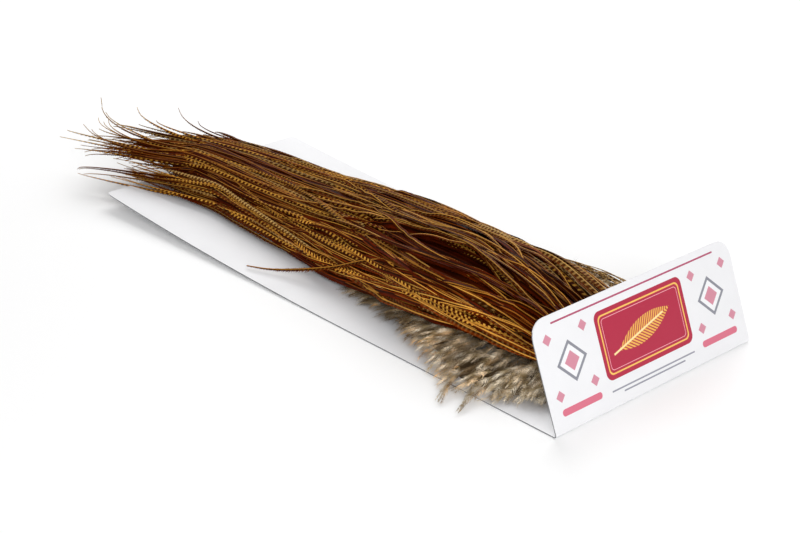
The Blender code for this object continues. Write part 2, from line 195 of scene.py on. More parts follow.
for side in (-1, 1):
    for out, up, size, code in PRINTED_LOZENGES:
        off = add(tree, "VectorMath", {0: on_flap, 1: (side * out, up, 0)}, operation="SUBTRACT")
        off = add(tree, "VectorMath", {0: off}, operation="ABSOLUTE")
        off = add(tree, "SeparateXYZ", {0: off})
        reach = add(tree, "Math", {0: off.outputs["X"], 1: off.outputs["Y"]}, operation="ADD")
        face = ink(face, code, add(tree, "Math", {0: reach, 1: size}, operation="LESS_THAN"))
# The cut edges that face sideways are painted grey: painted shade for the board's thin edge in shadow.
painted_edge_shade = add(tree, "SeparateXYZ", {0: add(tree, "NewGeometry").outputs["True Normal"]})
painted_edge_shade = add(tree, "Math", {0: painted_edge_shade.outputs["X"]}, operation="ABSOLUTE")
painted_edge_shade = add(tree, "Math", {0: painted_edge_shade, 1: EDGE_FACING}, operation="GREATER_THAN")
face = add(tree, "Mix", {"Factor": painted_edge_shade, "A": face, "B": linear("#6d6d70")}, data_type="RGBA")
grain = add(tree, "Bump", {"Height": fibre, "Strength": 0.06, "Distance": 0.05 * MM})
gloss = add(tree, "MapRange", {"Value": mottle, "To Min": 0.36, "To Max": 0.46})
board_shader = add(tree, "BsdfPrincipled",
                   {"Base Color": face, "Roughness": gloss, "Normal": grain, "IOR": 1.5})
tree.links.new(board_shader.outputs[0], output.inputs["Surface"])
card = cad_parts["display_card"]
card.data.materials.clear()
card.data.materials.append(board)


# The sheaf is a rooster's saddle: several hundred long hackles that grow from one strip of dried skin and
# lie along the card, held at its flap end. Each is a thin shaft with a narrow vane of stiff barbs at each
# side. The ones beneath lie packed into a dense dark mass, and the ones on top cling in locks that cross it.
CARD_LENGTH, CARD_HALF_WIDTH, CARD_THICKNESS = 325.0, 63.5, 0.5  # mm
FLAT_LENGTH, FAR_END_LIFT = 130.0, 8.0
BARB_GAP, FLOOR_GAP, FLAP_GAP = 0.15, 0.3, 0.8  # mm that barbs keep from the board, the floor and the flap
LIE_GAP = 0.35  # mm from the board to the underside of what lies on it
STATIONS = np.array((  # mm from the fold, left and right edge, crest, its height, edge height, fullness
    (4, -28, 14, -8, 2.0, 1.6, 0.5),
    (8, -30, 14, -9, 11.0, 7, 0.3),
    (25, -39, 23, -10, 21.5, 12, 0.2),
    (50, -45, 31, -10, 28.5, 15, 0.1),
    (80, -48, 38, -8, 34.0, 15, 0.0),
    (110, -47, 43, -6, 35.0, 12, 0.0),
    (150, -42, 47, -4, 32.0, 6, 0.6),
    (190, -39, 45, -1, 28.5, 3, 1.0),
    (230, -37, 40, 0, 25.0, 3, 1.0),
    (270, -36, 37, 0, 22.0, 3, 1.0),
    (300, -34, 33, -1, 19.5, 3, 1.0),
    (320, -32, 27, -4, 16.0, 3, 1.0),
    (338, -28, 14, -8, 10.5, 4, 1.0),
    (351, -21, 2, -10, 6.0, 4, 1.0),
), float)
OUTER_LANE = 0.97
EDGE_INSET = 1.8  # the outermost shafts lie this far in, and their barbs reach the edge
CLUMPS = ((6, 0.6, 0.021), (15, 0.5, -0.034))  # clumps to a unit of lane, pull, and drift to the millimetre
PARTINGS = (  # lane and distance from the fold where hackles part, half length and half gap
    (-0.22, 110, 45, 0.10), (-0.42, 96, 32, 0.045), (0.10, 120, 36, 0.045), (-0.55, 185, 40, 0.035),
    (0.42, 215, 45, 0.04), (-0.05, 262, 34, 0.035), (0.62, 60, 34, 0.04),
)


def card_top(y):
    """Height in mm of the card's upper face, y mm from the fold."""
    along = np.maximum(0.0, (y - FLAT_LENGTH) / (CARD_LENGTH - FLAT_LENGTH))
    return CARD_THICKNESS + FAR_END_LIFT * along * along


def station(y):
    """The stations' six columns at distances y, read along smooth curves."""
    at = np.clip(y, STATIONS[0, 0], STATIONS[-1, 0])
    k = np.clip(np.searchsorted(STATIONS[:, 0], at) - 1, 0, len(STATIONS) - 2)
    before = np.maximum(np.arange(len(STATIONS)) - 1, 0)
    after = np.minimum(np.arange(len(STATIONS)) + 1, len(STATIONS) - 1)
    slopes = (STATIONS[after] - STATIONS[before]) / (STATIONS[after, :1] - STATIONS[before, :1])
    span = (STATIONS[k + 1, 0] - STATIONS[k, 0])[:, None]
    s = (at - STATIONS[k, 0])[:, None] / span
    value = (2 * s**3 - 3 * s**2 + 1) * STATIONS[k] + (s**3 - 2 * s**2 + s) * span * slopes[k]
    value += (3 * s**2 - 2 * s**3) * STATIONS[k + 1] + (s**3 - s**2) * span * slopes[k + 1]
    return value[:, 1:].T


def on_sheaf(lane, y):
    """Points in mm on the sheaf's upper surface. lane runs evenly round it, from -1 at the left to 1."""
    left, right, crest, top, edge, full = station(y)
    left, right = left + EDGE_INSET, right - EDGE_INSET
    across = np.sin(np.pi / 2 * np.clip(lane, -OUTER_LANE, OUTER_LANE))
    full = np.where(across < 0, 1.0, np.clip(full, 0, 1))
    share = np.abs(across)
    x = crest + share * (np.where(across > 0, right, left) - crest)
    arch = np.maximum(0.0, 1 - share ** (1.6 + 0.6 * full)) ** (0.85 - 0.28 * full)
    return np.stack([x, y, card_top(y) + edge + (top - edge) * arch], axis=1)


def clear_of_card(points):
    """Lifts points in mm off the board or the floor, and brings them behind the flap."""
    over_card = (np.abs(points[:, 0]) < CARD_HALF_WIDTH) & (points[:, 1] < CARD_LENGTH)
    height = np.maximum(points[:, 2], np.where(over_card, card_top(points[:, 1]) + BARB_GAP, FLOOR_GAP))
    behind = FLAP_FOOT[0] + (height - FLAP_FOOT[1]) / math.tan(FLAP_LEAN) + FLAP_GAP
    return np.stack([points[:, 0], np.maximum(points[:, 1], behind), height], axis=1)


def unit(rows):
    """The rows scaled to length 1."""
    return rows / np.maximum(np.linalg.norm(rows, axis=1, keepdims=True), 1e-9)


def off_sheaf(lane, y):
    """The direction straight out of the sheaf's surface at each point."""
    lane = np.clip(lane, -0.93, 0.93)
    sideways = on_sheaf(lane + 0.03, y) - on_sheaf(lane - 0.03, y)
    along = on_sheaf(lane, y + 1.0) - on_sheaf(lane, y - 1.0)
    return unit(np.cross(sideways, along))


def clumped(lane, y):
    """Hackles cling together, so lanes crowd and leave dark gaps that shift along the sheaf. Gives the
    crowded lanes, and how far each stands out, from -1 in a gap between clumps to 1 on a clump's back."""
    swell = 0.0
    for count, pull, drift in CLUMPS:
        turn = 2 * np.pi * count * lane + drift * y + 1.3 * np.sin(0.023 * y + count)
        swell = swell - 0.5 * np.cos(turn)
        lane = lane + pull / (2 * np.pi * count) * np.sin(turn)
    return lane, swell


def parted(lane, y):
    """Pushes a hackle's lanes aside where the sheaf falls open and shows its dark inside."""
    for middle, at, half_length, half_gap in PARTINGS:
        side = 1.0 if np.interp(at, y, lane) > middle else -1.0
        off = np.maximum(side * (lane - middle), 0)
        opened = half_gap * np.exp(-((y - at) / half_length) ** 2)
        lane = lane + side * opened * np.exp(-off / (2.5 * half_gap))
    return lane


def frame_along(route, lift):
    """A route's length up to each point, and its directions ahead, sideways and out, the last near lift."""
    length = np.concatenate([[0], np.cumsum(np.linalg.norm(np.diff(route, axis=0), axis=1))])
    ahead = unit(np.gradient(route, axis=0))
    side = unit(np.cross(ahead, lift))
    return length, ahead, side, np.cross(side, ahead)


def read_along(at, length, values):
    """Values given at each point of a route, read at distances along it."""
    if values.ndim == 1:
        return np.interp(at, length, values)
    return np.stack([np.interp(at, length, row) for row in values.T], axis=1)


class Pile:
    """The corners, faces, colours and map places of many feathers that make one mesh."""

    def __init__(self):
        self.points, self.faces, self.dyes, self.barb_map, self.bake_map = [], [], [], [], []
        self.count = 0

    def put(self, points, faces, dyes, barb_map, bake_map):
        """Adds a piece of mesh, with a dye and two map places for each of its points."""
        self.points.append(points)
        self.faces += [tuple(int(i) + self.count for i in face) for face in faces]
        self.dyes.append(dyes)
        self.barb_map.append(barb_map)
        self.bake_map.append(bake_map)
        self.count += len(points)

    def made(self, name, material, node):
        """The pile as one mesh piece that rides on the card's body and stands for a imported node."""
        mesh = bpy.data.meshes.new(name)
        points = clear_of_card(np.concatenate(self.points)) * MM + np.array((0, FOLD_Y, 0))
        mesh.from_pydata(points.tolist(), [], self.faces)
        corners = np.zeros(len(mesh.loops), np.int32)
        mesh.loops.foreach_get("vertex_index", corners)
        dyes = mesh.color_attributes.new("dye", "FLOAT_COLOR", "POINT")
        dyes.data.foreach_set("color", np.concatenate(self.dyes).astype(np.float32).ravel())
        for layer, rows in (("barb_map", self.barb_map), ("OFBake", self.bake_map)):
            places = np.concatenate(rows).astype(np.float32)
            mesh.uv_layers.new(name=layer).data.foreach_set("uv", places[corners].ravel())
        mesh.materials.append(material)
        mesh.shade_smooth()
        piece = bpy.data.objects.new(name, mesh)
        bpy.context.scene.collection.objects.link(piece)
        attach(piece, "root")
        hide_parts(node)


def loft_faces(rings, ring):
    """The faces of a closed form through so many rings of so many points, with a cap at each end."""
    faces = [(i * ring + j, i * ring + (j + 1) % ring, (i + 1) * ring + (j + 1) % ring, (i + 1) * ring + j)
             for i in range(rings - 1) for j in range(ring)]
    return faces + [tuple(range(ring))[::-1], tuple((rings - 1) * ring + j for j in range(ring))]


FREE_BARB_STEP = 1.1  # mm between the barbs whose ends stand free of a hackle's vane
VANE_HALF, FREE_ROOT, FREE_END = 0.36, 0.38, 0.49  # half widths in a feather's own strip of the bake map


def column_of(index, count):
    """The strip of the bake map that one feather of so many takes, with a margin to the next."""
    return (index + 0.03) / count, (index + 0.97) / count


def in_column(column, across, along):
    """Places in a feather's strip, from shares across it and along it."""
    return np.stack([column[0] + (column[1] - column[0]) * across, 0.01 + 0.98 * along], axis=2)


def grow_feather(pile, route, lift, half, solid, tent, roll, shaft, dye, column):
    """One feather along a route in mm: a ridged shaft, a tented strip of barbs that cling together at each
    side, and the free ends of single barbs beyond it. half is the reach of the barbs at each point of the
    route, solid the clinging share of it, and column the feather's own strip of the bake map."""
    n = len(route)
    stretch = rng.uniform(0.68, 1.12)  # bars stand closer on one feather than on the next
    length, ahead, side, up = frame_along(route, lift)
    side = np.cos(roll)[:, None] * side + np.sin(roll)[:, None] * up
    up = np.cross(side, ahead)
    out = (half * solid)[:, None]
    hang = up * (out * np.tan(tent)[:, None] + 0.2)
    rows = [route + sign * side * (out + shaft[:, None]) - hang for sign in (-1, 1)]
    roots = [route + sign * side * shaft[:, None] - up * 0.15 for sign in (-1, 1)]
    ridge = route + up * (0.55 * shaft[:, None])
    points = np.stack([rows[0], roots[0], ridge, roots[1], rows[1]], axis=1).reshape(-1, 3)
    u = np.stack([-solid, np.full(n, -0.1), np.zeros(n), np.full(n, 0.1), solid], axis=1)
    v = np.repeat(length[:, None], 5, axis=1)
    faces = [
        (5 * i + j, 5 * i + j + 1, 5 * i + j + 6, 5 * i + j + 5) for i in range(n - 1) for j in range(4)
    ]
    bake = in_column(column, 0.5 + VANE_HALF * u, v / length[-1]).reshape(-1, 2)
    barb_map = np.stack([u, v * stretch], axis=2).reshape(-1, 2)
    pile.put(points, faces, np.repeat(dye, 5, axis=0), barb_map, bake)
    count = int(length[-1] / FREE_BARB_STEP)
    if count < 2:
        return
    for sign in (-1, 1):
        at = (np.arange(count) + rng.uniform(0.2, 0.8, count)) * FREE_BARB_STEP
        at = np.minimum(at, length[-1] - 0.2)
        vane_edge = rows[(sign + 1) // 2]
        base, way, over = (read_along(at, length, values) for values in (vane_edge, ahead, up))
        out = sign * read_along(at, length, side)
        far = read_along(at, length, half * (1 - solid)) * rng.uniform(0.75, 1.3, count)
        sweep = far * rng.uniform(0.9, 1.7, count)
        drop = far * (np.tan(read_along(at, length, tent)) + rng.uniform(-0.35, 0.35, count))
        tip = base + out * far[:, None] + way * sweep[:, None] - over * drop[:, None]
        broad = 0.36 * FREE_BARB_STEP + 0.1
        first = base - way * broad - out * 0.25
        second = base + way * broad - out * 0.25
        fan = np.stack([first, second, tip], axis=1).reshape(-1, 3)
        s = read_along(at, length, solid)
        u = np.stack([sign * s * 0.97, sign * s * 0.97, sign * np.ones(count)], axis=1)
        v = np.stack([at, at, at + 0.3 * sweep], axis=1) * stretch
        faces = [(3 * i, 3 * i + 1, 3 * i + 2) if sign < 0 else (3 * i + 1, 3 * i, 3 * i + 2)
                 for i in range(count)]
        strip_u = 0.5 + sign * np.tile((FREE_ROOT, FREE_ROOT, FREE_END), (count, 1))
        strip_v = np.stack([at - 0.4 * FREE_BARB_STEP, at + 0.4 * FREE_BARB_STEP, at], axis=1) / length[-1]
        bake = in_column(column, strip_u, np.clip(strip_v, 0, 1)).reshape(-1, 2)
        pile.put(fan, faces, np.repeat(read_along(at, length, dye), 3, axis=0),
                 np.stack([u, v], axis=2).reshape(-1, 2), bake)


# Rooster hackle: keratin barbs that lie side by side and shine like brushed horn. The barbs are ginger,
# barred in gold and near black, furnace brown with a dark middle, or grey tan, and the shaft is a paler
# glossy tan, whose paleness is partly its own colour and partly a painted highlight. Bars follow the barbs
# forward, so they meet at the shaft in a shallow arrow.
BAR_PITCH = 2.6  # mm from bar to bar
BAR_SLANT = 0.7  # mm that a bar runs forward from the shaft to the vane's edge
BARB_PITCH = 0.8  # mm; real barbs stand 0.3 mm apart, which is too fine to show, so they are drawn coarser
WOBBLE_SCALE = 0.35  # to the millimetre; bars break up over about 3 mm
STREAK_SCALE, STREAK_STRETCH = 3.0, 0.05  # streaks a third of a vane wide and some 7 mm long
hackle, tree, output = new_finish("rooster_hackle")
dye = add(tree, "VertexColor", layer_name="dye")
parts = add(tree, "SeparateColor", {0: dye.outputs["Color"]})
barred, golden, grey = (parts.outputs[i] for i in range(3))
tone = dye.outputs["Alpha"]
mapped = add(tree, "UVMap", uv_map="barb_map").outputs[0]
place = add(tree, "SeparateXYZ", {0: mapped})
off_shaft = add(tree, "Math", {0: place.outputs["X"]}, operation="ABSOLUTE")
swept = add(tree, "Math", {0: off_shaft, 1: -BAR_SLANT, 2: place.outputs["Y"]}, operation="MULTIPLY_ADD")
stretched = add(tree, "CombineXYZ", {0: place.outputs["X"], 1: swept, 2: golden})
wobble = add(tree, "TexNoise", {"Vector": stretched, "Scale": WOBBLE_SCALE, "Detail": 2.0})
bars = add(tree, "Math", {0: swept, 1: 2 / BAR_PITCH}, operation="MULTIPLY")
bars = add(tree, "Math", {0: wobble, 1: 1.1, 2: bars}, operation="MULTIPLY_ADD")
bars = bands(tree, bars, 0.42, 0.8)
rim = add(tree, "MapRange", {"Value": off_shaft, "From Min": 0.95, "From Max": 0.6})
bars = add(tree, "Math", {0: bars, 1: rim}, operation="MULTIPLY")
barbs = add(tree, "Math", {0: swept, 1: 2 * math.pi / BARB_PITCH}, operation="MULTIPLY")
barbs = add(tree, "Math", {0: barbs}, operation="SINE")
drawn_out = add(tree, "Math", {0: place.outputs["Y"], 1: STREAK_STRETCH}, operation="MULTIPLY")
streak = add(tree, "CombineXYZ", {0: place.outputs["X"], 1: drawn_out, 2: tone})
streak = add(tree, "TexNoise", {"Vector": streak, "Scale": STREAK_SCALE, "Detail": 2.0})
ginger = add(tree, "Mix", {"Factor": golden, "A": linear("#832501"), "B": linear("#9c3e02")},
             data_type="RGBA")
middle = add(tree, "MapRange", {"Value": off_shaft, "From Min": 0.15, "From Max": 0.75})
middle = add(tree, "Math", {0: middle, 1: streak, 2: -0.1}, operation="MULTIPLY_ADD")
furnace = add(tree, "Mix", {"Factor": middle, "A": linear("#230701"), "B": ginger}, data_type="RGBA")
gold_bar = add(tree, "Mix", {"Factor": streak, "A": linear("#bc6c08"), "B": linear("#f2c258")},
               data_type="RGBA")
banded = add(tree, "Mix", {"Factor": bars, "A": linear("#471602"), "B": gold_bar}, data_type="RGBA")
vane = add(tree, "Mix", {"Factor": barred, "A": furnace, "B": banded}, data_type="RGBA")
pale_bars = add(tree, "Mix", {"Factor": bars, "A": linear("#5a3512"), "B": linear("#c9a05c")},
                data_type="RGBA")
vane = add(tree, "Mix", {"Factor": grey, "A": vane, "B": pale_bars}, data_type="RGBA")
# The shaft's paler tone is partly its own colour and partly a painted highlight, as the shader itself shines
# little.
shaft_tone_and_highlight = add(tree, "Mix", {"Factor": golden, "A": linear("#7c3006"), "B": linear("#d0943a")},
                 data_type="RGBA")
shaft_tone_and_highlight = add(tree, "Mix", {"Factor": grey, "A": shaft_tone_and_highlight, "B": linear("#a68d5c")}, data_type="RGBA")
on_shaft = add(tree, "MapRange", {"Value": off_shaft, "From Min": 0.13, "From Max": 0.05})
coat = add(tree, "Mix", {"Factor": on_shaft, "A": vane, "B": shaft_tone_and_highlight}, data_type="RGBA")
fine = add(tree, "MapRange",
           {"Value": barbs, "From Min": -1.0, "From Max": 1.0, "To Min": 0.84, "To Max": 1.08})
shade = add(tree, "Math", {0: fine, 1: tone}, operation="MULTIPLY")
coat = add(tree, "HueSaturation", {"Color": coat, "Value": shade})
rough = add(tree, "MapRange", {"Value": on_shaft, "To Min": 0.5, "To Max": 0.28})
ridges = add(tree, "Bump", {"Height": barbs, "Strength": 0.35, "Distance": 0.08 * MM})
hackle_shader = add(tree, "BsdfPrincipled",
                    {"Base Color": coat, "Roughness": rough, "Normal": ridges, "IOR": 1.55,
                     "Specular IOR Level": 0.03, "Specular Tint": linear("#e8a050")})
tree.links.new(hackle_shader.outputs[0], output.inputs["Surface"])

rng = np.random.default_rng(31)


def dyed(count, barred, golden, grey, tone):
    """A dye row for each of a feather's points."""
    rows = np.zeros((count, 4))
    for column, value in enumerate((barred, golden, grey, tone)):
        rows[:, column] = value
    return rows


def ease(value, low, high):
    """Rises smoothly from 0 at low to 1 at high."""
    s = np.clip((value - low) / (high - low), 0, 1)
    return s * s * (3 - 2 * s)


def tapered(t, root, root_share, tip, tip_share):
    """A feather's width along it: from the root's over a first share, and down to the tip's over a last."""
    return (root + (1 - root) * ease(t, 0, root_share)) * (tip + (1 - tip) * ease(1 - t, 0, tip_share))


def waves_along(y, size, spans):
    """Slow sideways waves, each of its own length, for the way that a hackle wanders."""
    total = np.zeros(len(y))
    for share, shortest, longest in spans:
        length = rng.uniform(shortest, longest)
        total += size * share * np.sin(2 * np.pi * y / length + rng.uniform(0, 2 * np.pi))
    return total


STEP = 3.2  # mm between a hackle's cross sections
ROOT_DEPTH, TIP_DEPTH = 5.0, 1.0  # mm that its ends sink into the mass
CLUMP_RISE = 0.9  # mm that the middle of a clump stands out
SLOW_WAVES = ((1.0, 190, 330), (0.3, 90, 140))  # share, and shortest and longest wave in mm
HEIGHT_WAVES, TWIST_WAVES = ((1.0, 80, 150),), ((1.0, 90, 200),)


def steps_between(start, end):
    """The distances from the fold of a hackle's cross sections."""
    return np.linspace(start, end, max(int((end - start) / STEP), 8))


def hackle_on_sheaf(pile, lane, y, level, width, column, kind, tone):
    """A long hackle that rises out of the mass at its root, follows its lane and sinks in at its tip."""
    n = len(y)
    t = np.linspace(0, 1, n)
    barred, golden, grey = kind
    lane = np.clip(parted(lane, y), -0.985, 0.985)
    root, tip = ease(t, 0, 0.16), ease(1 - t, 0, 0.08)
    # Above the surface in mm: the sheaf stands fuller near the flap and lies flatter past its middle.
    height = (level + 0.9 - 0.9 * ease(y, 70, 150) - 1.3 * ease(y, 170, 250)) * root
    height = height - ROOT_DEPTH * (1 - root) - TIP_DEPTH * (1 - tip) + waves_along(y, 0.5, HEIGHT_WAVES)
    swell = clumped(lane, y)[1]
    height = height + CLUMP_RISE * swell * root * tip
    out = off_sheaf(lane, y)
    route = on_sheaf(lane, y) + out * height[:, None]
    width = min(width, 3.0 - 1.75 * barred)  # barred vanes fold narrow
    half = width * tapered(t, 0.45, 0.35, 0.12, 0.3)
    roll = rng.uniform(-0.45, 0.45) + waves_along(y, 0.5, TWIST_WAVES)
    tent = np.full(n, rng.uniform(0.25, 1.05))
    shaft = 0.34 - 0.2 * t
    bar_here = np.full(n, barred)
    if barred < 0.95:
        bar_here = barred * ease(y, 90 + rng.uniform(-30, 60), 200 + rng.uniform(-30, 40))
    painted_shading = 0.8 + 0.2 * swell  # painted shade: hackles in the gaps between clumps are darkened
    painted_shading = painted_shading * (1 + 0.45 * ease(-lane, 0.3, 0.8))  # and painted light: the hackles of the left flank are brightened
    dye = dyed(n, bar_here, golden, grey, tone * painted_shading)
    grow_feather(pile, route, out, half, np.full(n, 0.8), tent, roll, shaft, dye, column)


def pick_kind(lane, y):
    """Barred, golden and grey shares for a hackle, by where it lies."""
    if lane > 0.3 and y < 75 and rng.random() < 0.45:
        return 0.2, 0.7, rng.uniform(0.5, 0.9)
    if lane < -0.55 and rng.random() < 0.62:
        return (1.0, rng.uniform(0.6, 1.0), 0.0) if rng.random() < 0.5 else (0.0, rng.uniform(0.7, 1.0), 0.1)
    draw = rng.random()
    if draw < 0.08:
        return 1.0, rng.uniform(0.5, 1.0), 0.0
    if draw < 0.28:
        return 0.9, rng.uniform(0.0, 0.7), 0.0
    if draw < 0.68:
        return 0.0, rng.uniform(0.0, 0.3), 0.0
    if draw < 0.76:
        return 0.3, 0.3, rng.uniform(0.5, 0.85)
    return 0.0, rng.uniform(0.15, 0.75), 0.0


# The dense mass beneath: the same hackles pressed side by side on the dried skin, of which only edges
# show in the gaps. Its dark tone is painted shade for the depth of the gaps. It is one closed form that lies
# on the card, grooved along its length.
MASS_DEPTH = 4.4  # mm below the sheaf's surface
MASS_GROOVES, GROOVE_DEPTH = 28, 0.9
MASS_FOOT = 26.0  # mm from its middle line to where it leaves the card
MASS_SPAN = 347.0  # mm that its maps cover
mass_y = np.concatenate([[4.0, 6.0, 8.0, 11.0, 15.0], np.arange(20.0, 351.0, 6.0)])
mass_lanes = np.linspace(-OUTER_LANE, OUTER_LANE, 121)
rings = []
for y in mass_y:
    here = np.full(len(mass_lanes), y)
    depth = MASS_DEPTH * ease(y, 4, 20) * (1 - 0.6 * ease(y, 320, 351))
    turn = MASS_GROOVES * np.pi * clumped(mass_lanes, here)[0] + 0.8 * np.sin(0.03 * y)
    groove = GROOVE_DEPTH * np.abs(np.sin(turn))
    depth = depth + groove * ease(y, 6, 20)
    skin = on_sheaf(mass_lanes, here) - off_sheaf(mass_lanes, here) * depth[:, None]
    low = card_top(y) + LIE_GAP
    skin[:, 2] = low + (skin[:, 2] - low) * (1 - 0.85 * ease(y, 280, 340))
    skin[:, 0] = skin[:, 0] * (1 - 0.35 * ease(y, 280, 345))
    skin[:, 2] = np.maximum(skin[:, 2], low + 0.3)
    middle_x, half_x = (skin[0, 0] + skin[-1, 0]) / 2, (skin[-1, 0] - skin[0, 0]) / 2
    foot = min(MASS_FOOT, 0.6 * half_x)
    under = [(middle_x + foot, y, low), (middle_x - foot, y, low)]
    rings.append(np.vstack([skin, under]))
mass_points = np.concatenate(rings)
ring = len(rings[0])
mass = Pile()
ring_u = np.tile(np.arange(ring) / (ring - 1), len(rings))
ring_v = np.repeat((mass_y - mass_y[0]) / MASS_SPAN, ring)
# the dye's tone of 0.45 is painted shade for the depth of the gaps
mass.put(mass_points, loft_faces(len(rings), ring), dyed(len(mass_points), 0.0, 0.1, 0.0, 0.45),
         np.stack([0.55 + 0.3 * np.sin(ring_u * 300), ring_v * MASS_SPAN], axis=1),
         np.stack([0.01 + 0.98 * ring_u, 0.01 + 0.98 * ring_v], axis=1))
mass.made("hackle_mass", hackle, "saddle_hackles")

# The coat of hackles that lies on the mass, lane by lane, in three staggered rows. The lowest row ends first
# and is given the darkest tone, as painted shade, because it lies in the shade of the others.
LANES = 44
ROW_SHIFTS = (0.5, 0.17, 0.83)  # shares of a lane
COAT_ROWS = (  # longest root distance, shortest and longest end, level over the sheaf's surface, and tone, which paints shade darker on the lower rows
    (16, 250, 320, -2.8, 0.6), (60, 285, 345, -2.0, 0.8), (100, 305, 351, -1.1, 0.95),
)

for row, (latest, shortest, longest, level, tone) in enumerate(COAT_ROWS):
    pile = Pile()
    for i in range(LANES):
        home = -0.96 + 1.92 * (i + ROW_SHIFTS[row]) / LANES
        y = steps_between(rng.uniform(6, latest), rng.uniform(shortest, longest))
        lane = clumped(home + waves_along(y, 0.045, SLOW_WAVES), y)[0]
        hackle_on_sheaf(pile, lane, y, level + rng.uniform(-0.5, 0.5), rng.uniform(1.2, 3.0),
                        column_of(i, LANES), pick_kind(home, y[0]), tone * rng.uniform(0.65, 1.2))
    pile.made(f"hackle_coat_{row + 1}", hackle, "saddle_hackles")

# The locks on top: a few long hackles each that cling together by their barbs, run as one, pinch and widen,
# and cross the locks beside them. They grow from the same skin as the coat.
LOCKS, LOCK_PIECES = 34, 2
MOST_IN_LOCK = 6
LOCK_COLUMNS = LOCKS // LOCK_PIECES * MOST_IN_LOCK
for part in range(LOCK_PIECES):
    pile = Pile()
    for lock in range(LOCKS // LOCK_PIECES):
        home, slope = rng.uniform(-0.92, 0.92), rng.normal(0, 0.2)
        lock_start, lock_length = rng.uniform(6, 110), rng.uniform(150, 260)
        path = steps_between(lock_start - 6, min(lock_start + lock_length, 348))
        drift = waves_along(path, 0.075, ((1.0, 190, 330), (0.4, 100, 150)))
        kind, spread = pick_kind(home, lock_start), rng.uniform(0.025, 0.06)
        level, tone = rng.uniform(-0.9, 0.7), rng.uniform(0.75, 1.25)
        phase, turn_length = rng.uniform(0, 2 * np.pi), rng.uniform(120, 220)
        for member in range(int(rng.integers(3, MOST_IN_LOCK + 1))):
            y = steps_between(max(6.0, lock_start + rng.uniform(-6, 30)), path[-1] - rng.uniform(0, 45))
            along = (y - path[0]) / (path[-1] - path[0])
            pinch = 0.35 + 0.65 * np.abs(np.sin(2 * np.pi * y / turn_length + phase))
            lane = home + slope * (along - 0.5) + np.interp(y, path, drift)
            lane = lane + spread * rng.uniform(-1, 1) * pinch + waves_along(y, 0.008, ((1.0, 70, 130),))
            hackle_on_sheaf(pile, lane, y, level + rng.uniform(-0.4, 0.5), rng.uniform(0.8, 2.2),
                            column_of(lock * MOST_IN_LOCK + member, LOCK_COLUMNS), kind,
                            tone * rng.uniform(0.75, 1.2))
    pile.made(f"hackle_locks_{part + 1}", hackle, "saddle_hackles")

# The loose hackles: thin ones with short barbs and a bright shaft, which wander singly across the locks and
# stand a little proud of them. Those of the right flank are greyer.
LOOSE = 40
loose = Pile()
for i in range(LOOSE):
    home, start = rng.uniform(-0.9, 0.9), rng.uniform(6, 90)
    y = steps_between(start, min(start + rng.uniform(120, 240), 346))
    slope = rng.normal(0, 0.28)
    lane = home + slope * np.linspace(-0.5, 0.5, len(y)) + waves_along(y, 0.05, SLOW_WAVES)
    level, width = rng.uniform(0.0, 1.3), rng.uniform(0.5, 1.1)
    golden, grey = rng.uniform(0.6, 1.0), rng.uniform(0.0, 0.15) + 0.4 * ease(home, -0.1, 0.5)
    hackle_on_sheaf(loose, lane, y, level, width, column_of(i, LOOSE), (0.0, golden, grey),
                    rng.uniform(1.0, 1.4))
loose.made("hackle_loose", hackle, "saddle_hackles")


# The free tips: past the sheaf's far end the hackles part, curl upwards and thin out to single pale barbs.
# One stray hackle has slipped off the left flank and lies curved over the bare card.
TIPS = (  # mm: x, distance from the fold, height, and the lane where the hackle leaves the sheaf
    (-37, 366, 45, -0.30), (-50, 365, 33, -0.42), (-46, 389, 22, -0.36), (-53, 371, 18, -0.50),
    (-61, 357, 12, -0.66), (-36, 372, 25, -0.24), (-24, 383, 29, -0.14), (-49, 345, 12, -0.78),
    (-22, 376, 23, -0.06), (-14, 366, 34, 0.02), (-30, 352, 14, -0.34), (-8, 357, 27, 0.14),
    (-18, 350, 17, -0.10), (4, 352, 33, 0.26), (0, 346, 21, 0.20), (12, 345, 25, 0.40),
    (18, 338, 18, 0.54), (26, 322, 14, 0.76),
)
FAR_ENDS = np.array((  # a lane, and where its hackles end in mm: x, distance from the fold, height
    (-0.95, -42, 336, 13), (-0.6, -43, 350, 14), (-0.1, -33, 366, 15),
    (0.3, -14, 370, 13), (0.7, 3, 358, 12), (0.95, 12, 344, 10),
), float)
FARTHEST_END = 388  # mm from the fold
ROUTE_POINTS, FEWEST_POINTS = 64, 20
STRAY_ROUTE = ((-30, 128, 27), (-36, 148, 21), (-40, 168, 12), (-47, 188, 6), (-53, 200, 4), (-58, 211, 3.5))


def smooth_route(guides, count):
    """count points along a smooth curve through a few guide points."""
    guides = np.array(guides, float)
    at = np.linspace(0, len(guides) - 1, count)
    k = np.minimum(at.astype(int), len(guides) - 2)
    s = (at - k)[:, None]
    before, a, b = guides[np.maximum(k - 1, 0)], guides[k], guides[k + 1]
    after = guides[np.minimum(k + 2, len(guides) - 1)]
    return 0.5 * (2 * a + (b - before) * s + (2 * before - 5 * a + 4 * b - after) * s**2
                  + (3 * a - before - 3 * b + after) * s**3)


